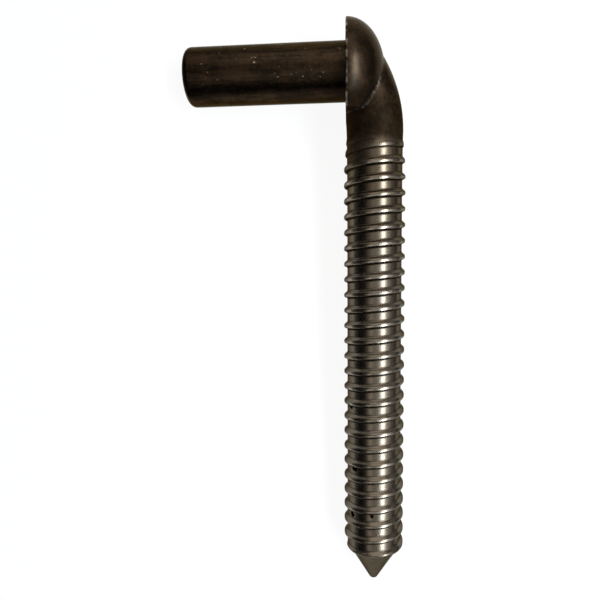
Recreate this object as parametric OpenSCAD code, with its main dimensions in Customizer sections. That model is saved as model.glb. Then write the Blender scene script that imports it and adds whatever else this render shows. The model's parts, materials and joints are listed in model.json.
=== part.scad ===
// Lag hinge pin: an upright pin for a gate hinge, a domed collar, a bend and a lag screw, all
// forged from one bar. It lies on a flat surface, on the collar's rim, the end of the pin and the
// last full crest of the thread, as it does when it is put down. The origin is on the pin's axis,
// in the collar's flat face. The shank points along -Y and the pin along -X.

/* [Pin] */
// Diameter of the pin that the hinge eye turns on
pin_d = 19.05; // [14:0.05:24]
// Length of the pin, from the collar's flat face to its end
pin_len = 53.2; // [35:0.1:90]
// Radius of the rounded edge at the end of the pin
pin_edge = 2.2; // [0.6:0.1:3]

/* [Collar] */
// Diameter of the collar at its flat face
collar_d = 34.4; // [31:0.1:40]
// Height of the collar's dome above its flat face
collar_h = 12.8; // [11:0.1:16]
// Distance that the middle of the collar sits below the pin's axis
collar_drop = 0.9; // [0:0.1:2]
// Distance from the pin's axis to the side trimmed off the collar, over the shank
collar_trim = 13.9; // [11:0.1:17]
// Width of the worn chamfer round the collar's flat face
collar_edge = 0.3; // [0.2:0.1:1.2]

/* [Bend] */
// Diameter of the plain bar in the bend and the shank
shank_d = 18.7; // [15:0.1:19.8]
// Radius of the bend, to the middle of the bar
bend_r = 37.2; // [33:0.1:41]
// Distance from the pin's axis to the end of the bend
bend_drop = 19.7; // [18.6:0.1:24]
// Distance that the shank's inner side lies behind the collar's flat face
bend_set = 0.2; // [0.1:0.05:1.5]

/* [Thread] */
// Length of plain shank between the bend and the thread
plain_len = 0.8; // [0.7:0.1:60]
// Distance between neighbouring crests
pitch = 5.264; // [4:0.002:7]
// Height that the crests stand over the plain shank
crest_rise = 0.9; // [0.5:0.05:1.6]
// Depth that the roots lie under the plain shank
root_depth = 0.22; // [0.1:0.02:0.8]
// Width of the ridge at its foot
ridge_w = 2.7; // [1.4:0.1:3.2]
// Width of the flat top of the ridge
crest_w = 0.8; // [0.3:0.1:1.2]
// Number of turns in which the first ridge rises to its full height
run_in = 2; // [0.3:0.1:5]
// Number of turns in which the roots sink from the plain shank to their full depth
sink_in = 3.5; // [0.5:0.1:6]
// Direction round the shank in which the first ridge starts, from the side away from the pin
start_angle = 90; // [0:1:359]
// Number of turns at the start that lie closer together
start_turns = 0.75; // [0:0.05:2]
// Pitch of those turns, as a share of the full pitch
start_pitch = 0.4; // [0.35:0.05:1]

/* [Point] */
// Distance from the pin's axis to the point of the screw
screw_len = 175.4; // [100:0.2:260]
// Angle between the point's side and its axis
point_angle = 31.1; // [25:0.1:40]
// Radius of the blunt tip
tip_r = 1.7; // [0.8:0.1:2.6]
// Distance from the tip to where the ridge has run out
fade_end = 9.2; // [6:0.1:12]
// Length in which the last ridge runs out
fade_len = 4; // [1.5:0.1:6]

/* [Hidden] */
$fn = 96;

// Sides of the threaded part, and rows of points in each turn: foot, crest, crest, foot
sides = 40;
rows = 4;

pin_r = pin_d / 2;
shank_r = shank_d / 2;
collar_r = collar_d / 2;
root_r = shank_r - root_depth;
crest_r = shank_r + crest_rise;

// The first roots lie this far under the plain shank
step_in = 0.08;
start_r = shank_r - step_in;
neck_r = shank_r - step_in / 2;

// The bar's axis below the bend, and the middle of the bend. The bend ends inside the dome,
// where its middle line meets the plane of the collar's face.
shank_x = shank_r + bend_set;
bend_x = shank_x - bend_r;
bend_angle = acos(-bend_x / bend_r);

// Distances from the pin's axis along the shank
neck_end = bend_drop + plain_len;
neck_len = 0.6;
sunk = 0.7;
foot_gap = 0.3;
thread_from = neck_end + foot_gap;

// The ball at the tip meets the cone at this height over the tip
tip_h = tip_r * (1 - sin(point_angle));
tip_rest = 0.35;

// Way of the ridge along the shank after t turns, and the number of whole turns
function lead_at(t) = pitch * (t < start_turns
    ? start_pitch * t : t - start_turns * (1 - start_pitch));
turns = floor((screw_len - tip_h - thread_from) / pitch - 0.05
    + start_turns * (1 - start_pitch)) - 1;
foot = [0, (ridge_w - crest_w) / 2, (ridge_w + crest_w) / 2, ridge_w];

// The dome is half an ellipsoid. The worn chamfer meets it at this height over the flat face.
face_r = collar_r - collar_edge;
edge_a = pow(collar_r / collar_h, 2) + 1;
edge_h = (sqrt(face_r * face_r + edge_a * (collar_r * collar_r - face_r * face_r)) - face_r)
    / edge_a;
rim_r = face_r + edge_h;

// Lying position: a plane touches the rim, the pin's rounded end and the last full crest
cone_len = tip_h + (root_r - tip_r * cos(point_angle)) / tan(point_angle);
under = (630 - start_angle) % 360 / 360;
first_crest = thread_from + ridge_w / 2 + lead_at(under + ceil(start_turns));
full_crests = floor((screw_len - cone_len - first_crest) / pitch);
last_crest = first_crest + full_crests * pitch;
function rest_x(n) =
    ((rim_r - pin_r + pin_edge) * norm([n.y, n.z]) - pin_edge + collar_drop * n.y)
    / (pin_len - pin_edge + edge_h);
function rest_y(n) =
    (rim_r * norm([n.y, n.z]) - crest_r * norm([n.x, n.z]) + (shank_x - edge_h) * n.x)
    / (last_crest - collar_drop);
function rest_step(n) =
    let (x = rest_x(n), y = rest_y(n)) [x, y, sqrt(1 - x * x - y * y)];
function rest_normal(n, steps) = steps == 0 ? n : rest_normal(rest_step(n), steps - 1);
settle = 16;
up = rest_normal([0, 0, 1], settle);
lean_y = -atan2(up.x, up.z);
lean_x = atan2(up.y, norm([up.x, up.z]));

// Radius of the core, and height of the ridge, at a distance z from the pin's axis
function within(v) = max(0, min(1, v));
function cone_at(s) = tip_r * cos(point_angle) + (s - tip_h) * tan(point_angle);
function sunk_share(z) = within((z - thread_from) / (sink_in * pitch));
function core_at(z) =
    let (s = screw_len - z)
    s < tip_h ? sqrt(s * (2 * tip_r - s))
    : min(start_r - (root_depth - step_in) * sunk_share(z), cone_at(s));
function ridge_at(z) =
    (crest_rise * within((z - thread_from) / (run_in * pitch)) + root_depth * sunk_share(z))
    * within((screw_len - z - fade_end) / fade_len);

// A point of the thread's surface: row r counts along the shank, a counts round it
function is_crest(r) = r % rows == 1 || r % rows == 2;
function row_z(r, a) =
    thread_from + lead_at(floor(r / rows) + a / sides) + foot[r % rows];
function on_ring(radius, z, a) =
    let (t = start_angle + 360 * a / sides) [radius * cos(t), radius * sin(t), z];
function on_thread(r, a) =
    let (z = row_z(r, a)) on_ring(core_at(z) + (is_crest(r) ? ridge_at(z) : 0), z, a);
function ring(radius, z) = [for (a = [0 : sides - 1]) on_ring(radius, z, a)];

// Threaded part with its point, along +Z, closed by a flat ring that is sunk in the plain shank.
// The end of each row of points is the start of the row one turn further on.
module thread() {
    last = rows * turns;
    top = 0;
    grid = sides;
    seam = grid + (last + 1) * sides;
    cone = seam + rows;
    ball = cone + sides;
    tip = ball + sides;
    points = concat(
        ring(root_r, neck_end - sunk),
        [for (r = [0 : last], a = [0 : sides - 1]) on_thread(r, a)],
        [for (r = [last + 1 : last + rows]) on_thread(r, 0)],
        ring(core_at(screw_len - tip_h), screw_len - tip_h),
        ring(core_at(screw_len - tip_h * tip_rest), screw_len - tip_h * tip_rest),
        [[0, 0, screw_len]]);
    // Number of the point at row r and step a
    function at(r, a) =
        a < sides ? (r <= last ? grid + r * sides + a : seam + r - last - 1) : at(r + rows, 0);
    function on(base, a) = base + a % sides;
    // Two triangles over four corners, given anticlockwise as seen from outside
    function quad(p, q, r, s) = [[p, r, q], [p, s, r]];
    end = sides - 1;
    faces = concat(
        [[for (a = [0 : end]) top + a]],
        [for (a = [0 : end - 1]) each quad(on(top, a), on(top, a + 1), at(0, a + 1), at(0, a))],
        [[on(top, end), at(0, 0), on(top, sides)]],
        [for (r = [0 : rows - 1]) [on(top, end), at(r + 1, 0), at(r, 0)]],
        [[on(top, end), at(0, end), at(rows, 0)]],
        [for (r = [0 : last - 1], a = [0 : end]) each
            quad(at(r, a), at(r, a + 1), at(r + 1, a + 1), at(r + 1, a))],
        [[on(cone, 1), at(last, 1), at(last, 0)]],
        [for (r = [last : last + rows - 1]) [on(cone, 1), at(r, 0), at(r + 1, 0)]],
        [[on(cone, 1), at(last + rows, 0), on(cone, 0)]],
        [for (a = [1 : end]) each
            quad(at(last, a), at(last, a + 1), on(cone, a + 1), on(cone, a))],
        [for (a = [0 : end]) each
            quad(on(cone, a), on(cone, a + 1), on(ball, a + 1), on(ball, a))],
        [for (a = [0 : end]) [on(ball, a), tip, on(ball, a + 1)]]);
    polyhedron(points, faces, convexity = 8);
}

// Plain shank below the bend, stepped down to the thread's roots, along +Z
module neck() {
    translate([0, 0, bend_drop]) cylinder(h = plain_len - neck_len, r = shank_r);
    translate([0, 0, neck_end - neck_len]) cylinder(h = neck_len, r1 = shank_r, r2 = neck_r);
}

// Pin along +Z from inside the collar, with its rounded end
module pin() {
    root = collar_h / 3;
    core = pin_r - pin_edge;
    rotate_extrude() {
        translate([0, -root]) square([pin_r, root + pin_len - pin_edge]);
        square([core, pin_len]);
        translate([core, pin_len - pin_edge]) circle(r = pin_edge);
    }
}

// Domed collar over its flat face, along +Z, with a worn chamfer round the face
module collar() {
    difference() {
        rotate_extrude() intersection() {
            scale([1, collar_h / collar_r]) circle(r = collar_r);
            polygon([[0, 0], [face_r, 0], [face_r + collar_h, collar_h],
                [collar_r, 2 * collar_h], [0, 2 * collar_h]]);
        }
        translate([-collar_d, -collar_d * 2 - collar_trim + collar_drop, -collar_h])
            cube([2 * collar_d, 2 * collar_d, 3 * collar_h]);
    }
}

// Bend from the shank up into the collar, cut flush with the collar's flat face
module bend() {
    intersection() {
        translate([bend_x, -bend_drop, 0]) rotate_extrude(angle = bend_angle)
            translate([bend_r, 0]) circle(r = shank_r);
        translate([0, -2 * bend_r, -bend_r]) cube([2 * bend_r, 4 * bend_r, 2 * bend_r]);
    }
}

module hinge_pin() {
    color([0.27, 0.24, 0.22]) rotate([lean_x, 0, 0]) rotate([0, lean_y, 0]) union() {
        rotate([0, -90, 0]) pin();
        translate([0, -collar_drop, 0]) rotate([0, 90, 0]) rotate([0, 0, 90]) collar();
        bend();
        translate([shank_x, 0, 0]) rotate([90, 0, 0]) {
            neck();
            thread();
        }
    }
}

hinge_pin();
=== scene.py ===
"""Lag hinge pin: forged pin, collar and bend with a rolled lag thread, lying on a studio table."""
import json
import math
from types import SimpleNamespace

import bmesh
import bpy
from mathutils import Matrix, Vector


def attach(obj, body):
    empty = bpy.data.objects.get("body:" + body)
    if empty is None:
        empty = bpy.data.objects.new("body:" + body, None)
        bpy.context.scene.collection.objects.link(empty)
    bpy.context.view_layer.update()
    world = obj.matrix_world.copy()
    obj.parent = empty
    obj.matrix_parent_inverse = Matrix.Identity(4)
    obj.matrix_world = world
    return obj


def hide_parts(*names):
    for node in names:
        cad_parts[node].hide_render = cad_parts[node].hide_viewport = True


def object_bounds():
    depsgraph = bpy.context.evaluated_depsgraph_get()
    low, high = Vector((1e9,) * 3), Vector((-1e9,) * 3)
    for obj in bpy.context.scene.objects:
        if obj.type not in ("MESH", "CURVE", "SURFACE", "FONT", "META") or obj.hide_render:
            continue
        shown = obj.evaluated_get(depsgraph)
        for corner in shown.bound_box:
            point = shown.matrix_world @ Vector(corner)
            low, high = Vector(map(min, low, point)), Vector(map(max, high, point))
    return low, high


bl_info = {
    "name": "Lag Hinge Pin",
    "version": (1, 0, 0),
    "blender": (4, 5, 0),
    "location": "View3D > Sidebar > Hinge Pin",
    "description": "Models a forged lag hinge pin and the studio table it lies on",
    "category": "Object",
}

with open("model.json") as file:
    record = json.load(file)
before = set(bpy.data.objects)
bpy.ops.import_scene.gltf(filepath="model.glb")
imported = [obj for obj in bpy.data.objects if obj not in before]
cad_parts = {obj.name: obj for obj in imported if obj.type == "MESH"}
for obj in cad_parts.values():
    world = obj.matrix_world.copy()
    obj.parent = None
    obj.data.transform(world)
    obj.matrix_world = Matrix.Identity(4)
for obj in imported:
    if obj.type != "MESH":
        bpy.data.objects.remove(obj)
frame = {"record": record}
CAD_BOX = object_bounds()
MOUNTS = {m["name"]: m for m in frame["record"]["mounts"]}
MM = 0.001
# A point this near a plane is in it, and points as near to each other as SAME are one
EDGE = 1e-5
SAME = EDGE / 10
# Sides of the thread and the bend, and of the turned collar and pin
SIDES = 96
ROUND_SIDES = 128
# The first roots lie this far under the plain shank
FIRST_STEP = 0.08 * MM
# The lamps face this point, beside the middle of the shank
LAMP_AIM = Vector((0, -0.09, 0))
# Deep pits in the thread: millimetres down the shank, across from its axis, and a pit's radius
PITS = ((111.4, -8.0, 1.2), (132.7, -6.9, 1.4), (148.3, -0.95, 0.7), (149.6, -7.6, 1.1))
PIN_RADIUS = MOUNTS["eye_pin"]["dims"]["r_mm"] * MM
PIN_STRAIGHT = MOUNTS["eye_pin"]["dims"]["length_mm"] * MM

# The part lies on its rim, its pin and its thread: it leans about Y first and then about X
PIN_WAY = Vector(MOUNTS["eye_pin"]["axis"])
SHANK_WAY = Vector(MOUNTS["lag_thread"]["axis"])
LEAN_X = math.asin(-SHANK_WAY.z)
LEAN_Y = math.asin(PIN_WAY.z / math.cos(LEAN_X))
LYING = Matrix.Rotation(LEAN_X, 4, "X") @ Matrix.Rotation(LEAN_Y, 4, "Y")


def linear(hex_colour):
    """An sRGB hex colour as linear red, green, blue and alpha."""
    parts = [int(hex_colour[i:i + 2], 16) / 255 for i in (0, 2, 4)]
    return [c / 12.92 if c <= 0.04045 else ((c + 0.055) / 1.055) ** 2.4 for c in parts] + [1.0]


def length(name, description, default):
    """A length in the sidebar, given in millimetres."""
    return bpy.props.FloatProperty(
        name=name, description=description, default=default * MM, unit="LENGTH", precision=5)


def colour(name, description, hex_colour):
    """A colour in the sidebar, given as sRGB hex."""
    return bpy.props.FloatVectorProperty(
        name=name, description=description, default=linear(hex_colour), size=4,
        subtype="COLOR", min=0, max=1)


class ForgedSizes(bpy.types.PropertyGroup):
    """Sizes of the forged pin, collar and bend."""
    pin_edge: length("Pin edge", "Radius of the rounded edge at the pin's end", 2.2)
    collar_radius: length("Collar radius", "Radius of the collar at its flat face", 17.18)
    collar_height: length("Collar height", "Height of the dome above the flat face", 12.78)
    collar_drop: length("Collar drop", "Distance of the collar's middle below the pin's axis", 0.9)
    collar_trim: length("Collar trim", "Distance from the pin's axis to the trimmed side", 13.9)
    collar_edge: length("Collar edge", "Radius of the worn edge round the flat face", 0.4)
    bar_radius: length("Bar radius", "Radius of the plain bar in the bend", 9.35)
    bend_radius: length("Bend radius", "Radius of the bend, to the middle of the bar", 37.2)
    bend_drop: length("Bend drop", "Distance from the pin's axis to the end of the bend", 19.7)
    bend_set: length("Bend set", "How far the shank lies behind the flat face", 0.2)


class ThreadSizes(bpy.types.PropertyGroup):
    """Sizes of the rolled lag thread and its point."""
    pitch: length("Pitch", "Distance between neighbouring crests", 5.264)
    crest_rise: length("Crest rise", "Height of the crests above the plain shank", 0.88)
    root_depth: length("Root depth", "Depth of the roots under the plain shank", 0.22)
    ridge_width: length("Ridge width", "Width of the ridge at its foot", 2.7)
    start: length("Start", "Distance from the pin's axis to the first ridge", 20.85)
    screw_length: length("Screw length", "Distance from the pin's axis to the point", 175.4)
    tip_radius: length("Tip radius", "Radius of the blunt tip", 1.8)
    fade_end: length("Fade end", "Distance from the tip at which the ridge has run out", 9.2)
    fade_length: length("Fade length", "Length in which the last ridge runs out", 4)
    start_angle: bpy.props.FloatProperty(
        name="Start angle", description="Direction in which the first ridge starts",
        default=math.radians(90), subtype="ANGLE")
    point_angle: bpy.props.FloatProperty(
        name="Point angle", description="Angle between the point's side and its axis",
        default=math.radians(31.1), subtype="ANGLE")
    run_in: bpy.props.FloatProperty(
        name="Run-in", description="Turns in which the first ridge rises to full height",
        default=2.0, min=0.1)
    sink_in: bpy.props.FloatProperty(
        name="Sink-in", description="Turns in which the roots sink to their full depth",
        default=3.5, min=0.1)
    start_turns: bpy.props.FloatProperty(
        name="Start turns", description="Turns at the start that lie closer together",
        default=0.75, min=0, max=1)
    start_pitch: bpy.props.FloatProperty(
        name="Start pitch", description="Pitch of those turns, as a share of the full pitch",
        default=0.4, min=0.3, max=1)


class SteelColours(bpy.types.PropertyGroup):
    """Colours of the forging scale and of the rolled steel."""
    scale_brown: colour("Scale", "Forging scale on the pin, collar and bend", "36291d")
    scale_black: colour("Burnt scale", "Thicker, blacker patches of the scale", "1d1710")
    rolled: colour("Rolled steel", "Bright flats between the ridges", "665e54")
    tint: colour("Heat tint", "Brown tint left by the forge beside the bend", "63584a")
    # This colour also paints the shade in the corners at the ridges' feet, beside oil and rust
    grime_and_shade: colour("Grime", "Oil and rust in the corners of the thread", "1e1811")
    # The bare steel colour also paints a highlight along the crease between dome and bend
    bare: colour("Bare steel", "Steel laid bare at knocks and worn edges", "cdc6bb")


def only(obj):
    """Selects one object and makes it the active one."""
    bpy.ops.object.select_all(action="DESELECT")
    obj.select_set(True)
    bpy.context.view_layer.objects.active = obj


def select(obj, kind, test):
    """In edit mode, selects the verts, edges or faces of a kind that pass a test."""
    bpy.ops.mesh.select_all(action="DESELECT")
    modes = {"verts": "VERT", "edges": "EDGE", "faces": "FACE"}
    bpy.ops.mesh.select_mode(type=modes[kind])
    mesh = bmesh.from_edit_mesh(obj.data)
    for part in getattr(mesh, kind):
        if test(part):
            part.select = True
    mesh.select_flush_mode()
    bmesh.update_edit_mesh(obj.data)


def place_selected(obj, place):
    """In edit mode, moves each selected vertex to where place(co) says."""
    mesh = bmesh.from_edit_mesh(obj.data)
    for vert in mesh.verts:
        if vert.select:
            vert.co = place(vert.co)
    bmesh.update_edit_mesh(obj.data)


def apply_modifier(obj, kind, **settings):
    """Adds a modifier with its settings to an object, and applies it."""
    only(obj)
    modifier = obj.modifiers.new(kind.title(), kind)
    for name, value in settings.items():
        setattr(modifier, name, value)
    bpy.ops.object.modifier_apply(modifier=modifier.name)


def bounded(value):
    """The value, kept between 0 and 1."""
    return max(0.0, min(1.0, value))


def ridge_outline(width, pitch):
    """One pitch of the thread's outline, as distances from the ridge's upper foot and shares of
    its height. The lower flank is the steeper."""
    outline = [(0.0, 0.0), (0.1, 0.12), (0.24, 0.52), (0.37, 0.86), (0.48, 0.98), (0.62, 1.0),
               (0.76, 0.985), (0.84, 0.86), (0.92, 0.5), (1.0, 0.1), (1.04, 0.0)]
    corner = 0.04 * width
    return ([(share * width, rise) for share, rise in outline]
            + [(1.1 * width, 0.0), (pitch - corner, 0.0), (pitch, 0.0)])


def tip_height(thread):
    """Height over the tip at which the ball of the blunt tip meets the cone."""
    return thread.tip_radius * (1 - math.sin(thread.point_angle))


def turns_gained(thread):
    """How much of a turn the closer start gains on an even thread."""
    return thread.start_turns * (1 - thread.start_pitch)


def screwed_outline(forged, thread):
    """The outline of one turn, made vertex by vertex and screwed down the shank along +Z."""
    cone_foot = thread.screw_length - tip_height(thread)
    turns = math.floor((cone_foot - thread.start) / thread.pitch - 0.05
                       + turns_gained(thread)) - 1
    bpy.ops.object.select_all(action="DESELECT")
    bpy.ops.mesh.primitive_plane_add(size=MM)
    bar = bpy.context.object
    bar.name = "hinge_pin_forged"
    bpy.ops.object.mode_set(mode="EDIT")
    select(bar, "verts", lambda v: v.co.x > 0 or v.co.y > 0)
    bpy.ops.mesh.delete(type="VERT")
    bpy.ops.mesh.select_all(action="SELECT")
    place_selected(bar, lambda co: Vector((forged.bar_radius, 0, thread.start)))
    steps = ridge_outline(thread.ridge_width, thread.pitch)
    for (from_z, from_rise), (to_z, to_rise) in zip(steps, steps[1:]):
        move = ((to_rise - from_rise) * MM, 0, to_z - from_z)
        bpy.ops.mesh.extrude_vertices_move(TRANSFORM_OT_translate={"value": move})
    bpy.ops.object.mode_set(mode="OBJECT")
    apply_modifier(bar, "SCREW", axis="Z", angle=2 * math.pi, screw_offset=thread.pitch,
                   iterations=turns, steps=SIDES, render_steps=SIDES,
                   use_merge_vertices=True, merge_threshold=SAME)
    return bar


def draw_thread(bar, forged, thread):
    """The first part of a turn is drawn closer, the ridge runs in and out, the roots sink
    gradually and the core is drawn down to the cone."""
    radius, pitch, width = forged.bar_radius, thread.pitch, thread.ridge_width
    gained = turns_gained(thread)

    def lead(turn):
        return pitch * (turn * thread.start_pitch if turn < thread.start_turns else turn - gained)

    rounding = 1e-4
    for vert in bar.data.vertices:
        share = (vert.co.xy.length - radius) / MM
        around = math.atan2(vert.co.y, vert.co.x) / (2 * math.pi) % 1
        along = (vert.co.z - thread.start) / pitch - around
        turn = math.floor(along + rounding)
        past, turn = (along - turn) * pitch, turn + around
        if past > width:
            past = width + (past - width) / (pitch - width) * (lead(turn + 1) - lead(turn) - width)
        z = thread.start + lead(turn) + past
        left = thread.screw_length - z
        sunk = bounded((z - thread.start) / (thread.sink_in * pitch))
        root = radius - FIRST_STEP - (thread.root_depth - FIRST_STEP) * sunk
        cone = (thread.tip_radius * math.cos(thread.point_angle)
                + (left - tip_height(thread)) * math.tan(thread.point_angle))
        rise = (thread.crest_rise * bounded((z - thread.start) / (thread.run_in * pitch))
                + thread.root_depth * sunk) * bounded((left - thread.fade_end) / thread.fade_length)
        flat = vert.co.xy.normalized() * (min(root, cone) + share * rise)
        vert.co = (flat.x, flat.y, z)


def draw_ends(bar, forged, thread):
    """Both open ends are drawn to flat rings. The lower one is rounded off to the blunt tip, and
    the upper one stays open at the plain shank."""
    middle = thread.screw_length / 2
    bpy.ops.object.mode_set(mode="EDIT")
    bpy.ops.mesh.select_all(action="SELECT")
    bpy.ops.mesh.remove_doubles(threshold=SAME)

    def on_ring(radius, z):
        def place(co):
            flat = co.xy.normalized() * radius
            return Vector((flat.x, flat.y, z))
        return place

    select(bar, "edges", lambda e: e.is_boundary and e.verts[0].co.z > middle)
    bpy.ops.mesh.extrude_region_move()
    place_selected(bar, on_ring(thread.tip_radius * math.cos(thread.point_angle),
                                thread.screw_length - tip_height(thread)))
    bpy.ops.mesh.remove_doubles(threshold=SAME)
    blunt_rings = (0.7, 0.45, 0.22, 0.06)
    for share in blunt_rings:
        left = tip_height(thread) * share
        bpy.ops.mesh.extrude_region_move()
        place_selected(bar, on_ring(math.sqrt(left * (2 * thread.tip_radius - left)),
                                    thread.screw_length - left))
    bpy.ops.mesh.extrude_region_move()
    place_selected(bar, lambda co: Vector((0, 0, thread.screw_length)))
    bpy.ops.mesh.remove_doubles(threshold=SAME)
    select(bar, "edges", lambda e: e.is_boundary and e.verts[0].co.z < middle)
    bpy.ops.mesh.extrude_region_move()
    place_selected(bar, on_ring(forged.bar_radius, forged.bend_drop))
    bpy.ops.mesh.remove_doubles(threshold=SAME)
    bpy.ops.object.mode_set(mode="OBJECT")


def bend_bar(bar, forged, thread):
    """The bar is laid along the shank, and its open end is spun round the bend into the collar
    and closed."""
    shank_x = forged.bar_radius + forged.bend_set
    bend_x = shank_x - forged.bend_radius
    bar.data.transform(Matrix.Translation((shank_x, 0, 0)) @ Matrix.Rotation(math.pi / 2, 4, "X")
                       @ Matrix.Rotation(thread.start_angle, 4, "Z"))
    bpy.ops.object.mode_set(mode="EDIT")
    select(bar, "edges", lambda e: e.is_boundary)
    short_of_face = math.radians(1.5)
    sweep = math.acos(-bend_x / forged.bend_radius) - short_of_face
    bpy.ops.mesh.spin(steps=26, angle=-sweep, axis=(0, 0, 1),
                      center=(bend_x, -forged.bend_drop, 0))
    bpy.ops.mesh.edge_face_add()
    bpy.ops.mesh.select_all(action="SELECT")
    bpy.ops.mesh.remove_doubles(threshold=SAME)
    bpy.ops.mesh.normals_make_consistent(inside=False)
    bpy.ops.object.mode_set(mode="OBJECT")


def rolled_bar(forged, thread):
    """The bar: the rolled thread with its point, and the bend, cut off at the collar's face."""
    bar = screwed_outline(forged, thread)
    draw_thread(bar, forged, thread)
    draw_ends(bar, forged, thread)
    bend_bar(bar, forged, thread)
    bpy.ops.object.mode_set(mode="EDIT")
    select(bar, "faces", lambda f: f.calc_center_median().y > -forged.bend_drop)
    bpy.ops.mesh.bisect(plane_co=(0, 0, 0), plane_no=(1, 0, 0), use_fill=True,
                        clear_inner=True, threshold=SAME)
    bpy.ops.object.mode_set(mode="OBJECT")
    return bar


def domed_collar(forged):
    """The collar: a flattened ball, halved at its flat face, worn round the edge and trimmed
    over the shank."""
    bpy.ops.object.select_all(action="DESELECT")
    bpy.ops.mesh.primitive_uv_sphere_add(
        segments=ROUND_SIDES, ring_count=ROUND_SIDES // 2, radius=forged.collar_radius,
        location=(0, -forged.collar_drop, 0), rotation=(0, math.pi / 2, 0),
        scale=(1, 1, forged.collar_height / forged.collar_radius))
    collar = bpy.context.object
    bpy.ops.object.transform_apply()
    bpy.ops.object.mode_set(mode="EDIT")
    bpy.ops.mesh.select_all(action="SELECT")
    bpy.ops.mesh.bisect(plane_co=(0, 0, 0), plane_no=(1, 0, 0), use_fill=True,
                        clear_inner=True, threshold=SAME)
    select(collar, "edges", lambda e: all(abs(v.co.x) < EDGE for v in e.verts))
    bpy.ops.mesh.bevel(offset=forged.collar_edge, segments=3, affect="EDGES")
    bpy.ops.mesh.select_all(action="SELECT")
    bpy.ops.mesh.bisect(plane_co=(0, -forged.collar_trim, 0), plane_no=(0, 1, 0),
                        use_fill=True, clear_inner=True, threshold=SAME)
    bpy.ops.mesh.select_all(action="SELECT")
    bpy.ops.mesh.normals_make_consistent(inside=False)
    bpy.ops.object.mode_set(mode="OBJECT")
    return collar


def round_pin(forged):
    """The pin: a cylinder from inside the collar, with a rounded edge at its end."""
    radius, sunk = PIN_RADIUS, 4 * MM
    end = PIN_STRAIGHT + forged.pin_edge
    bpy.ops.object.select_all(action="DESELECT")
    bpy.ops.mesh.primitive_cylinder_add(
        vertices=ROUND_SIDES, radius=radius, depth=end + sunk,
        location=((sunk - end) / 2, 0, 0), rotation=(0, math.pi / 2, 0))
    pin = bpy.context.object
    bpy.ops.object.transform_apply()
    bpy.ops.object.mode_set(mode="EDIT")
    select(pin, "edges", lambda e: all(v.co.x < EDGE - end for v in e.verts))
    bpy.ops.mesh.bevel(offset=forged.pin_edge, segments=7, affect="EDGES")
    bpy.ops.object.mode_set(mode="OBJECT")
    return pin


def weld(base, other):
    """Joins another closed solid to the base and removes it."""
    apply_modifier(base, "BOOLEAN", operation="UNION", solver="EXACT", object=other)
    bpy.data.objects.remove(other, do_unlink=True)


def add_node(tree, kind, inputs=(), out=0, **settings):
    """Adds a node with its settings, and gives each input its value or its link: in order, or by
    name or number from a dictionary. One of its outputs comes back."""
    node = tree.nodes.new("ShaderNode" + kind)
    for name, value in settings.items():
        setattr(node, name, value)
    pairs = inputs.items() if isinstance(inputs, dict) else enumerate(inputs)
    for key, value in pairs:
        if isinstance(value, bpy.types.NodeSocket):
            tree.links.new(value, node.inputs[key])
        else:
            node.inputs[key].default_value = value
    return node.outputs[out] if node.outputs else node


def place_on_part(tree, forged):
    """Where a point lies along the part's own axes, in millimetres, and how far it is down the
    shank, across from the shank's axis, and out from the collar's axis."""
    lying = add_node(tree, "TexCoord", out="Object")
    part = add_node(tree, "Mapping", {"Vector": lying, "Rotation": (-LEAN_X, -LEAN_Y, 0),
                                      "Scale": (1 / MM,) * 3})
    x, y, z = add_node(tree, "SeparateXYZ", (part,)).node.outputs
    down = add_node(tree, "Math", (y, -1.0), operation="MULTIPLY")
    shank_x = (forged.bar_radius + forged.bend_set) / MM
    across = add_node(tree, "Math", (x, shank_x), operation="SUBTRACT")
    low = add_node(tree, "Math", (y, forged.collar_drop / MM), operation="ADD")
    squares = add_node(tree, "Math", (z, z), operation="MULTIPLY")
    squares = add_node(tree, "Math", (low, low, squares), operation="MULTIPLY_ADD")
    out = add_node(tree, "Math", (squares,), operation="SQRT")
    return SimpleNamespace(part=part, x=x, y=y, z=z, down=down, across=across, out=out)


def rolled_share(tree, place):
    """0 on the forging scale and 1 on the rolled steel. The scale ends sharply on the outer side
    of the bend, and over two or three turns on the inner side."""
    scale_end, outer_reach, more_inside = 22.5, 2.2, 13.0
    inner = add_node(tree, "MapRange", (place.across, 2.0, -9.0), interpolation_type="SMOOTHSTEP")
    reach = add_node(tree, "Math", (inner, more_inside, outer_reach), operation="MULTIPLY_ADD")
    past = add_node(tree, "Math", (place.down, scale_end), operation="SUBTRACT")
    past = add_node(tree, "Math", (past, reach), operation="DIVIDE")
    ragged = add_node(tree, "TexNoise", {"Vector": place.part, "Scale": 0.3, "Detail": 4.0,
                                         "Roughness": 0.55})
    ragged = add_node(tree, "Math", (ragged, 0.5), operation="SUBTRACT")
    past = add_node(tree, "Math", (ragged, 0.9, past), operation="MULTIPLY_ADD")
    share = add_node(tree, "MapRange", (past, 0.0, 1.0), interpolation_type="SMOOTHSTEP")
    least = add_node(tree, "MapRange", (place.down, 21.5, 25.0), interpolation_type="SMOOTHSTEP")
    least = add_node(tree, "Math", (least, 0.3), operation="MULTIPLY")
    return add_node(tree, "Math", (share, least), operation="MAXIMUM")


def place_on_thread(tree, place, thread):
    """Place within one turn of the thread: 0 and 1 at the ridge's upper foot."""
    pitch = thread.pitch / MM
    even_start = thread.start / MM - turns_gained(thread) * pitch
    angle = add_node(tree, "Math", (place.z, place.across), operation="ARCTAN2")
    angle = add_node(tree, "Math", (angle, thread.start_angle), operation="SUBTRACT")
    around = add_node(tree, "Math", (angle, 2 * math.pi), operation="DIVIDE")
    turn = add_node(tree, "Math", (place.down, even_start), operation="SUBTRACT")
    turn = add_node(tree, "Math", (turn, pitch), operation="DIVIDE")
    turn = add_node(tree, "Math", (turn, around), operation="SUBTRACT")
    return add_node(tree, "Math", (turn,), operation="FRACT")


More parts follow.
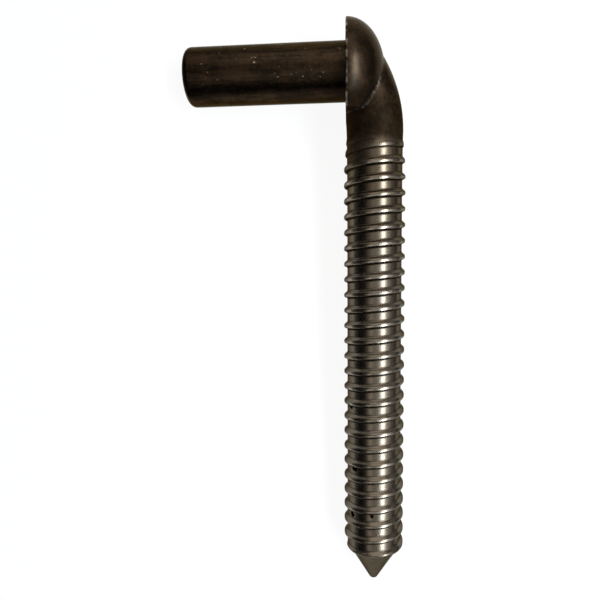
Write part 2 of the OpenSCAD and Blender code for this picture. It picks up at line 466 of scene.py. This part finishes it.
def thread_marks(tree, place, thread, rolled):
    """What follows the thread: the distance from the ridge's middle, the dark corners at both of
    its feet, partly oil and rust and partly painted shade, stronger at the lower one, and its
    worn crest, which sits below its middle."""
    phase = place_on_thread(tree, place, thread)
    middle = thread.ridge_width / thread.pitch / 2
    lower_foot, worn_middle, upper_strength = 2 * middle + 0.005, 1.38 * middle, 0.6

    beside = add_node(tree, "Math", (phase, middle), operation="SUBTRACT")
    beside = add_node(tree, "Math", (beside,), operation="ABSOLUTE")
    upper = add_node(tree, "Math", (phase, 0.5), operation="PINGPONG")
    upper = add_node(tree, "MapRange", (upper, 0.0, 0.075), interpolation_type="SMOOTHSTEP")
    upper = add_node(tree, "Math", (1.0, upper), operation="SUBTRACT")
    upper = add_node(tree, "Math", (upper, upper_strength), operation="MULTIPLY")
    lower = add_node(tree, "Math", (phase, lower_foot), operation="SUBTRACT")
    lower = add_node(tree, "Math", (lower,), operation="ABSOLUTE")
    lower = add_node(tree, "MapRange", (lower, 0.025, 0.085), interpolation_type="SMOOTHSTEP")
    lower = add_node(tree, "Math", (1.0, lower), operation="SUBTRACT")
    # Painted shade: the corners at both feet of the ridge are darkened, most under the ridge
    corner = add_node(tree, "Math", (upper, lower), operation="MAXIMUM")
    crest = add_node(tree, "Math", (phase, worn_middle), operation="SUBTRACT")
    crest = add_node(tree, "Math", (crest,), operation="ABSOLUTE")
    crest = add_node(tree, "MapRange", (crest, 0.105, 0.025), interpolation_type="SMOOTHSTEP")
    crest = add_node(tree, "Math", (crest, rolled), operation="MULTIPLY")

    # Both end where the ridge does, above the cone
    tip = thread.screw_length / MM
    ridged = add_node(tree, "MapRange", (place.down, tip - 11.0, tip - 14.0),
                      interpolation_type="SMOOTHSTEP")
    crest = add_node(tree, "Math", (crest, ridged), operation="MULTIPLY")
    corner = add_node(tree, "Math", (corner, ridged), operation="MULTIPLY")
    return beside, corner, crest


def scale_colour(tree, place, colours, blotches):
    """Forging scale: black and brown patches of 4 to 15 mm, a little browner at the top, with
    blotches under a millimetre and streaks drawn along the pin."""
    patches = add_node(tree, "TexNoise", {"Vector": place.part, "Scale": 0.16, "Detail": 5.0,
                                          "Roughness": 0.62})
    top = add_node(tree, "MapRange", (place.down, 8.0, -2.0), interpolation_type="SMOOTHSTEP")
    patches = add_node(tree, "Math", (top, 0.08, patches), operation="MULTIPLY_ADD")
    patches = add_node(tree, "Math", (patches, 0.6), operation="MULTIPLY")
    along = add_node(tree, "Mapping", {"Vector": place.part, "Scale": (0.08, 1.0, 1.0)})
    drawn = add_node(tree, "TexNoise", {"Vector": along, "Scale": 1.2, "Detail": 3.0,
                                        "Roughness": 0.6})
    drawn = add_node(tree, "Math", (drawn, 0.53), operation="SUBTRACT")
    on_pin = add_node(tree, "MapRange", (place.x, 0.2, -0.2), interpolation_type="SMOOTHSTEP")
    drawn = add_node(tree, "Math", (drawn, on_pin), operation="MULTIPLY")
    drawn = add_node(tree, "Math", (drawn, 0.5), operation="MULTIPLY")
    small = add_node(tree, "Math", (blotches, 0.4, drawn), operation="MULTIPLY_ADD")
    brown = add_node(tree, "Math", (patches, small), operation="ADD")
    brown = add_node(tree, "MapRange", (brown, 0.38, 0.66), interpolation_type="SMOOTHSTEP")
    return add_node(tree, "Mix", {0: brown, 6: colours.scale_black, 7: colours.scale_brown},
                    out=2, data_type="RGBA")


def chips(tree, place):
    """Knocks: small bright flecks, in clusters along the pin, where the scale has chipped off."""
    along = add_node(tree, "Mapping", {"Vector": place.part, "Scale": (0.6, 1.0, 1.0)})
    flecks = add_node(tree, "TexNoise", {"Vector": along, "Scale": 1.3, "Detail": 2.0,
                                         "Roughness": 0.55})
    flecks = add_node(tree, "MapRange", (flecks, 0.66, 0.74), interpolation_type="SMOOTHSTEP")
    clusters = add_node(tree, "TexNoise", {"Vector": place.part, "Scale": 0.12, "Detail": 2.0,
                                           "Roughness": 0.55})
    clusters = add_node(tree, "MapRange", (clusters, 0.5, 0.58), interpolation_type="SMOOTHSTEP")
    chip = add_node(tree, "Math", (flecks, clusters), operation="MULTIPLY")
    head = add_node(tree, "MapRange", (place.down, 6.0, 2.0), interpolation_type="SMOOTHSTEP")
    return add_node(tree, "Math", (chip, head), operation="MULTIPLY")


def rubbed_rim(tree, place, forged):
    """The rim of the flat face, rubbed lighter in places, but not along the trimmed side."""
    edge, trim = forged.collar_radius / MM, forged.collar_trim / MM
    face = add_node(tree, "MapRange", (place.x, 0.8, 0.2), interpolation_type="SMOOTHSTEP")
    rim = add_node(tree, "MapRange", (place.out, edge - 1.2, edge - 0.4),
                   interpolation_type="SMOOTHSTEP")
    rim = add_node(tree, "Math", (face, rim), operation="MULTIPLY")
    whole = add_node(tree, "MapRange", (place.down, trim + 0.3, trim + 0.1),
                     interpolation_type="SMOOTHSTEP")
    rim = add_node(tree, "Math", (rim, whole), operation="MULTIPLY")
    broken = add_node(tree, "TexNoise", {"Vector": place.part, "Scale": 0.5, "Detail": 3.0,
                                         "Roughness": 0.55})
    broken = add_node(tree, "MapRange", (broken, 0.4, 0.65), interpolation_type="SMOOTHSTEP")
    return add_node(tree, "Math", (rim, broken), operation="MULTIPLY")


def off_bend(tree, place, forged):
    """Distance from the surface of the bend's round bar."""
    bend_x = (forged.bar_radius + forged.bend_set - forged.bend_radius) / MM
    x = add_node(tree, "Math", (place.x, bend_x), operation="SUBTRACT")
    y = add_node(tree, "Math", (place.y, forged.bend_drop / MM), operation="ADD")
    squares = add_node(tree, "Math", (y, y), operation="MULTIPLY")
    squares = add_node(tree, "Math", (x, x, squares), operation="MULTIPLY_ADD")
    beside = add_node(tree, "Math", (squares,), operation="SQRT")
    beside = add_node(tree, "Math", (beside, forged.bend_radius / MM), operation="SUBTRACT")
    squares = add_node(tree, "Math", (place.z, place.z), operation="MULTIPLY")
    squares = add_node(tree, "Math", (beside, beside, squares), operation="MULTIPLY_ADD")
    off = add_node(tree, "Math", (squares,), operation="SQRT")
    off = add_node(tree, "Math", (off, forged.bar_radius / MM), operation="SUBTRACT")
    return add_node(tree, "Math", (off,), operation="ABSOLUTE")


def crease_wear_and_highlight(tree, place, forged, blotches):
    """The crease between dome and bend, where the surface of one meets that of the other: a light
    line, partly rubbed steel and partly a painted highlight.
    """
    trim = forged.collar_trim / MM
    high = add_node(tree, "Math", (place.x, forged.collar_height / MM), operation="DIVIDE")
    wide = add_node(tree, "Math", (place.out, forged.collar_radius / MM), operation="DIVIDE")
    squares = add_node(tree, "Math", (wide, wide), operation="MULTIPLY")
    squares = add_node(tree, "Math", (high, high, squares), operation="MULTIPLY_ADD")
    dome = add_node(tree, "Math", (squares,), operation="SQRT")
    dome = add_node(tree, "MapRange", (dome, 1.06, 1.01), interpolation_type="SMOOTHSTEP")
    bend = add_node(tree, "MapRange", (off_bend(tree, place, forged), 0.8, 0.1),
                    interpolation_type="SMOOTHSTEP")
    crease = add_node(tree, "Math", (bend, dome), operation="MULTIPLY")
    behind = add_node(tree, "MapRange", (place.x, 0.0, 0.3), interpolation_type="SMOOTHSTEP")
    above = add_node(tree, "MapRange", (place.down, trim + 0.6, trim + 0.3),
                     interpolation_type="SMOOTHSTEP")
    behind = add_node(tree, "Math", (behind, above), operation="MULTIPLY")
    crease = add_node(tree, "Math", (crease, behind), operation="MULTIPLY")
    broken = add_node(tree, "MapRange", (blotches, 0.3, 1.3), interpolation_type="SMOOTHSTEP")
    return add_node(tree, "Math", (crease, broken), operation="MULTIPLY")


def worn_scale_and_crease_highlight(tree, place, forged, blotches):
    """Where the scale is rubbed or knocked down to bare steel: rim, chips, pin's end, and the
    crease, whose light line is partly a painted highlight.
    """
    rim = add_node(tree, "Math", (rubbed_rim(tree, place, forged), 0.8), operation="MULTIPLY")
    # Painted highlight, partly wear: a light line of bare steel along the crease
    crease = crease_wear_and_highlight(tree, place, forged, blotches)
    worn = add_node(tree, "Math", (rim, crease), operation="MAXIMUM")
    worn = add_node(tree, "Math", (worn, chips(tree, place)), operation="MAXIMUM")
    worn = add_node(tree, "Math", (worn, 0.55), operation="MULTIPLY")
    end = add_node(tree, "MapRange", (place.x, -51.8, -52.6), interpolation_type="SMOOTHSTEP")
    edge = add_node(tree, "MapRange", (place.out, 6.8, 8.3), interpolation_type="SMOOTHSTEP")
    edge = add_node(tree, "Math", (edge, 0.35), operation="MULTIPLY")
    end = add_node(tree, "Math", (end, edge), operation="MULTIPLY")
    end = add_node(tree, "Math", (end, blotches), operation="MULTIPLY")
    return add_node(tree, "Math", (worn, end), operation="MAXIMUM")


def deep_pits(tree, place, forged, blotches):
    """The few deep pits in the thread, with ragged edges."""
    shank_x, bar_radius = (forged.bar_radius + forged.bend_set) / MM, forged.bar_radius / MM
    pitted = 0.0
    for below, beyond, size in PITS:
        middle = (shank_x + beyond, -below, math.sqrt(bar_radius ** 2 - beyond ** 2))
        away = add_node(tree, "VectorMath", (place.part, middle), "Value", operation="DISTANCE")
        away = add_node(tree, "Math", (blotches, size, away), operation="MULTIPLY_ADD")
        pit = add_node(tree, "MapRange", (away, 1.7 * size, 1.2 * size),
                       interpolation_type="SMOOTHSTEP")
        pitted = add_node(tree, "Math", (pitted, pit), operation="MAXIMUM")
    return pitted


def rough_spots(tree, place, beside):
    """Shallow rough spots in the rolled steel, mostly on the ridges."""
    spots = add_node(tree, "TexNoise", {"Vector": place.part, "Scale": 0.75, "Detail": 4.0,
                                        "Roughness": 0.65})
    spots = add_node(tree, "MapRange", (spots, 0.63, 0.7), interpolation_type="SMOOTHSTEP")
    ridge = add_node(tree, "MapRange", (beside, 0.36, 0.12), interpolation_type="SMOOTHSTEP")
    return add_node(tree, "Math", (spots, ridge), operation="MULTIPLY")


def polished_crest(tree, place, crest):
    """How far the crests are polished: unevenly, and not where the first turns run in."""
    uneven = add_node(tree, "TexNoise", {"Vector": place.part, "Scale": 0.4, "Detail": 3.0,
                                         "Roughness": 0.55})
    uneven = add_node(tree, "MapRange", (uneven, 0.2, 0.75), interpolation_type="SMOOTHSTEP")
    polish = add_node(tree, "Math", (crest, uneven), operation="MULTIPLY")
    full = add_node(tree, "MapRange", (place.down, 22.0, 32.0), interpolation_type="SMOOTHSTEP")
    polish = add_node(tree, "Math", (polish, full), operation="MULTIPLY")
    return add_node(tree, "Math", (polish, 0.42), operation="MULTIPLY")


def rolled_colour(tree, colours, place, forged, blotches, spots, corner, crest):
    """Rolled steel: brown heat tint near the bend, polished crests, oil and rust with painted
    shade in the corners, pits.
    """
    tinted = add_node(tree, "MapRange", (place.down, 70.0, 20.0), interpolation_type="SMOOTHSTEP")
    steel = add_node(tree, "Mix", {0: tinted, 6: colours.rolled, 7: colours.tint},
                     out=2, data_type="RGBA")
    steel = add_node(tree, "Mix", {0: polished_crest(tree, place, crest), 6: steel,
                                   7: colours.bare}, out=2, data_type="RGBA")
    patchy = add_node(tree, "MapRange", (blotches, 0.1, 0.5), interpolation_type="SMOOTHSTEP")
    # Painted shade with oil and rust: the corners at the ridges' feet take the dark colour in
    # patches
    oil_rust_and_shade = add_node(tree, "Math", (corner, patchy), operation="MULTIPLY")
    spots = add_node(tree, "Math", (spots, 0.6), operation="MULTIPLY")
    oil_rust_and_shade = add_node(tree, "Math", (oil_rust_and_shade, spots), operation="MAXIMUM")
    oil_rust_and_shade = add_node(tree, "Math", (oil_rust_and_shade, 0.85), operation="MULTIPLY")
    steel = add_node(tree, "Mix", {0: oil_rust_and_shade, 6: steel, 7: colours.grime_and_shade},
                     out=2, data_type="RGBA")
    return add_node(tree, "Mix", {0: deep_pits(tree, place, forged, blotches), 6: steel,
                                  7: linear("080604")}, out=2, data_type="RGBA")


def steel_roughness(tree, place, rolled, blotches, corner):
    """The dome is smooth from the die, the neck is matt, and the rolled steel is satin."""
    dome_rough, neck_more, rolled_rough = 0.33, 0.32, 0.27
    neck = add_node(tree, "MapRange", (place.down, 3.0, 12.0), interpolation_type="SMOOTHSTEP")
    behind = add_node(tree, "MapRange", (place.x, -0.5, 0.5), interpolation_type="SMOOTHSTEP")
    neck = add_node(tree, "Math", (neck, behind), operation="MULTIPLY")
    scale = add_node(tree, "Math", (neck, neck_more, dome_rough), operation="MULTIPLY_ADD")
    less = add_node(tree, "Math", (scale, rolled_rough), operation="SUBTRACT")
    less = add_node(tree, "Math", (rolled, less), operation="MULTIPLY")
    rough = add_node(tree, "Math", (scale, less), operation="SUBTRACT")

    # Blotches vary the scale more than the rolled steel, and the dirty corners are duller
    swing = add_node(tree, "Math", (rolled, -0.15, 0.22), operation="MULTIPLY_ADD")
    blotched = add_node(tree, "Math", (blotches, 0.5), operation="SUBTRACT")
    rough = add_node(tree, "Math", (blotched, swing, rough), operation="MULTIPLY_ADD")
    dull = add_node(tree, "Math", (rolled, 0.15), operation="MULTIPLY")
    return add_node(tree, "Math", (corner, dull, rough), operation="MULTIPLY_ADD")


def steel_bump(tree, place, rolled, blotches, spots):
    """Relief of the scale's grain, nearly gone on the rolled steel but for its rough spots."""
    grain = add_node(tree, "TexNoise", {"Vector": place.part, "Scale": 5.5, "Detail": 3.0,
                                        "Roughness": 0.6})
    fine = add_node(tree, "Math", (grain, 0.35), operation="MULTIPLY")
    coarse = add_node(tree, "Math", (blotches, 0.65), operation="MULTIPLY")
    height = add_node(tree, "Math", (fine, coarse), operation="ADD")
    left = add_node(tree, "Math", (rolled, -0.85, 1.0), operation="MULTIPLY_ADD")
    height = add_node(tree, "Math", (height, left), operation="MULTIPLY")
    spots = add_node(tree, "Math", (spots, rolled), operation="MULTIPLY")
    height = add_node(tree, "Math", (spots, grain, height), operation="MULTIPLY_ADD")
    return add_node(tree, "Bump", {"Height": height, "Strength": 0.35, "Distance": 0.12 * MM})


def oiled_dome(tree, place):
    """Weight of the thin oily film on the pin and the dome, weaker on the pin."""
    above = add_node(tree, "MapRange", (place.down, 13.0, 4.0), interpolation_type="SMOOTHSTEP")
    dome = add_node(tree, "MapRange", (place.x, 0.0, 1.0), interpolation_type="SMOOTHSTEP")
    film = add_node(tree, "Math", (dome, 0.06, 0.06), operation="MULTIPLY_ADD")
    return add_node(tree, "Math", (above, film), operation="MULTIPLY")


def forged_steel(colours, forged, thread):
    """Forged low-carbon steel. The pin, collar and bend keep their black-brown forging scale, an
    uneven oxide that is dull on the bend. The thread is cold rolled: a bright satin metal with
    brown heat tint. At a glancing angle both reflect less than clean steel."""
    material = bpy.data.materials.new("forged_steel_scale_and_rolled_thread")
    material.use_nodes = True
    tree = material.node_tree
    tree.nodes.clear()
    place = place_on_part(tree, forged)
    rolled = rolled_share(tree, place)
    beside, corner, crest = thread_marks(tree, place, thread, rolled)
    blotches = add_node(tree, "TexNoise", {"Vector": place.part, "Scale": 0.9, "Detail": 4.0,
                                           "Roughness": 0.6})
    spots = rough_spots(tree, place, beside)

    scale = add_node(tree, "Mix", {0: worn_scale_and_crease_highlight(tree, place, forged, blotches),
                                   6: scale_colour(tree, place, colours, blotches),
                                   7: colours.bare}, out=2, data_type="RGBA")
    steel = rolled_colour(tree, colours, place, forged, blotches, spots, corner, crest)
    base = add_node(tree, "Mix", {0: rolled, 6: scale, 7: steel}, out=2, data_type="RGBA")
    edge_on = add_node(tree, "Mix", {0: rolled, 6: (0.52, 0.48, 0.42, 1.0),
                                     7: (0.3, 0.3, 0.28, 1.0)}, out=2, data_type="RGBA")
    bump = steel_bump(tree, place, rolled, blotches, spots)
    shader = add_node(tree, "BsdfPrincipled", {
        "Base Color": base, "Metallic": 1.0, "Specular Tint": edge_on,
        "Roughness": steel_roughness(tree, place, rolled, blotches, corner),
        "Normal": bump, "Coat Weight": oiled_dome(tree, place), "Coat Roughness": 0.27,
        "Coat Normal": bump})
    add_node(tree, "OutputMaterial", {"Surface": shader}, is_active_output=True)
    return material


class HINGEPIN_OT_forge(bpy.types.Operator):
    """Model the hinge pin, one forging from the pin's end to the screw's point"""
    bl_idname = "hinge_pin.forge"
    bl_label = "Forge Hinge Pin"
    bl_options = {"REGISTER", "UNDO"}

    def execute(self, context):
        scene = context.scene
        forged, thread = scene.hinge_pin_forged, scene.hinge_pin_thread
        bar = rolled_bar(forged, thread)
        weld(bar, domed_collar(forged))
        weld(bar, round_pin(forged))
        bar.data.transform(LYING)
        only(bar)
        sharpest_smooth = math.radians(40)
        bpy.ops.object.shade_smooth_by_angle(angle=sharpest_smooth)
        bar.data.materials.clear()
        bar.data.materials.append(forged_steel(scene.hinge_pin_colours, forged, thread))
        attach(bar, "root")
        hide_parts("hinge_pin")
        return {"FINISHED"}


def softbox(name, back, right, distance, width, height, level, hex_colour):
    """A soft lamp that faces the part, swung back and to the right in degrees from straight above.
    Level 1 is as bright as a white wall."""
    turned = (Matrix.Rotation(-math.radians(back), 4, "X")
              @ Matrix.Rotation(math.radians(right), 4, "Y"))
    data = bpy.data.lights.new(name, "AREA")
    data.shape = "RECTANGLE"
    data.size, data.size_y = width, height
    data.energy = level * math.pi * width * height
    data.color = linear(hex_colour)[:3]
    lamp = bpy.data.objects.new(name, data)
    bpy.context.collection.objects.link(lamp)
    lamp.location = LAMP_AIM + turned @ Vector((0, 0, distance))
    lamp.rotation_euler = turned.to_euler()
    lamp.visible_camera = False


def dark_flag(name, middle, turn, width, height):
    """A black card that the camera doesn't see and that throws no shadow, but that steel shows
    as a dark band. Some stand round the table, and two lie just over it."""
    bpy.ops.object.select_all(action="DESELECT")
    bpy.ops.mesh.primitive_plane_add(size=1, location=middle, rotation=turn)
    flag = bpy.context.object
    flag.name = name
    flag.scale = (width, height, 1)
    bpy.ops.object.transform_apply()
    material = bpy.data.materials.new("black_flag_felt")
    material.use_nodes = True
    felt = material.node_tree.nodes["Principled BSDF"]
    felt.inputs["Base Color"].default_value = linear("101010")
    felt.inputs["Roughness"].default_value = 1.0
    flag.data.materials.append(material)
    flag.visible_camera = flag.visible_shadow = False


class HINGEPIN_OT_stage(bpy.types.Operator):
    """Set up the table, the soft lamps, the world and the camera"""
    bl_idname = "hinge_pin.stage"
    bl_label = "Set Stage"
    bl_options = {"REGISTER", "UNDO"}

    def execute(self, context):
        scene = context.scene
        bpy.ops.object.select_all(action="DESELECT")
        table_radius = 12
        bpy.ops.mesh.primitive_circle_add(vertices=96, radius=table_radius, fill_type="NGON",
                                          location=(0, 0, CAD_BOX[0].z))
        table = context.object
        table.name = "table"
        table.data.materials.append(table_paint())

        softbox("key_window", -11.6, 27.6, 1.0, 0.25, 1.3, 17.0, "ecf7ff")
        softbox("key_glow", -7.6, 39, 1.4, 1.15, 2.0, 0.85, "fffaf2")
        softbox("ceiling_panel", -4.6, -5, 1.5, 0.95, 2.1, 0.6, "fff6ea")
        softbox("ceiling_edge", -4.6, -29, 1.55, 0.7, 2.1, 0.25, "fff6ea")
        softbox("low_panel", -25.6, -25, 1.4, 0.28, 0.85, 1.0, "fffdf8")
        softbox("back_panel", 50, 0, 1.3, 1.2, 0.9, 1.6, "fff8ee")
        dark_flag("left_flag", (-1.5, -0.2, 0.97), (0, math.pi / 2, 0), 1.9, 3.6)
        dark_flag("right_flag", (1.6, -0.2, 0.15), (0, math.pi / 2, 0), 0.3, 3.6)
        over_table = CAD_BOX[0].z + MM
        dark_flag("left_card", (-0.605, -0.1, over_table), (0, 0, 0), 1.07, 1.4)
        dark_flag("right_card", (0.62, -0.1, over_table), (0, 0, 0), 1.0, 1.4)
        dark_flag("front_flag", (0.0, -1.9, 0.62), (math.pi / 2, 0, 0), 3.0, 1.2)

        scene.world = studio_air()
        scene.camera = overhead_camera()
        context.collection.objects.link(scene.camera)
        scene.view_settings.view_transform = "Standard"
        return {"FINISHED"}


def overhead_camera():
    """A camera 0.18 m over the part, looking down on it."""
    data = bpy.data.cameras.new("camera")
    data.lens = 32.115
    data.sensor_width = 36
    data.clip_start = 0.005
    camera = bpy.data.objects.new("camera", data)
    camera.location = (-0.025857, -0.06826, 0.17869)
    camera.rotation_euler = [math.radians(a) for a in (-2.2099, -3.1574, -0.6996)]
    return camera


def studio_air():
    """The room: a white wall to the eye, but steel still shows a dark ceiling over it."""
    world = bpy.data.worlds.new("studio")
    world.use_nodes = True
    tree = world.node_tree
    tree.nodes.clear()
    way = add_node(tree, "TexCoord", out="Generated")
    up = add_node(tree, "SeparateXYZ", (way,), "Z")
    at_table, overhead = 0.8, 0.05
    sky = add_node(tree, "MapRange", (up, 0.0, 0.5, at_table, overhead),
                   interpolation_type="SMOOTHSTEP")
    rays = add_node(tree, "LightPath").node.outputs
    seen = add_node(tree, "Math", (rays["Is Camera Ray"], rays["Is Transmission Ray"]),
                    operation="MAXIMUM")
    level = add_node(tree, "Math", (sky, seen), operation="MAXIMUM")
    background = add_node(tree, "Background", {"Color": linear("fffdfa"), "Strength": level})
    add_node(tree, "OutputWorld", {"Surface": background})
    return world


def table_paint():
    """Matt white paint. It shows the eye a clean white ground with a faint shadow, and shows
    steel a ground that is a little darker."""
    material = bpy.data.materials.new("matt_white_table")
    material.use_nodes = True
    tree = material.node_tree
    tree.nodes.clear()
    to_eye, to_steel = 0.92, 0.7
    paint = add_node(tree, "BsdfDiffuse", {"Color": linear("fafafa")})
    glow = add_node(tree, "Emission", {"Color": linear("ffffff"), "Strength": 1.0})
    rays = add_node(tree, "LightPath").node.outputs
    seen = add_node(tree, "Math", (rays["Is Camera Ray"], rays["Is Transmission Ray"]),
                    operation="MAXIMUM")
    seen = add_node(tree, "Math", (seen, to_eye), operation="MULTIPLY")
    share = add_node(tree, "Math", (rays["Is Glossy Ray"], to_steel, seen),
                     operation="MULTIPLY_ADD")
    mixed = add_node(tree, "MixShader", (share, paint, glow))
    add_node(tree, "OutputMaterial", {"Surface": mixed})
    return material


class HINGEPIN_PT_sidebar(bpy.types.Panel):
    """Sidebar panel with the piece and the stage"""
    bl_idname = "HINGEPIN_PT_sidebar"
    bl_label = "Hinge Pin"
    bl_space_type = "VIEW_3D"
    bl_region_type = "UI"
    bl_category = "Hinge Pin"

    def draw(self, context):
        layout = self.layout
        for group in ("hinge_pin_forged", "hinge_pin_thread", "hinge_pin_colours"):
            owner = getattr(context.scene, group)
            box = layout.box()
            for name in owner.__annotations__:
                box.prop(owner, name)
        layout.operator(HINGEPIN_OT_forge.bl_idname)
        layout.operator(HINGEPIN_OT_stage.bl_idname)


CLASSES = (ForgedSizes, ThreadSizes, SteelColours, HINGEPIN_OT_forge, HINGEPIN_OT_stage,
           HINGEPIN_PT_sidebar)
GROUPS = {"hinge_pin_forged": ForgedSizes, "hinge_pin_thread": ThreadSizes,
          "hinge_pin_colours": SteelColours}


def register():
    for cls in CLASSES:
        bpy.utils.register_class(cls)
    for name, group in GROUPS.items():
        setattr(bpy.types.Scene, name, bpy.props.PointerProperty(type=group))


def unregister():
    for name in GROUPS:
        delattr(bpy.types.Scene, name)
    for cls in reversed(CLASSES):
        bpy.utils.unregister_class(cls)


def main():
    register()
    bpy.ops.hinge_pin.forge()
    bpy.ops.hinge_pin.stage()


if __name__ == "__main__":
    main()
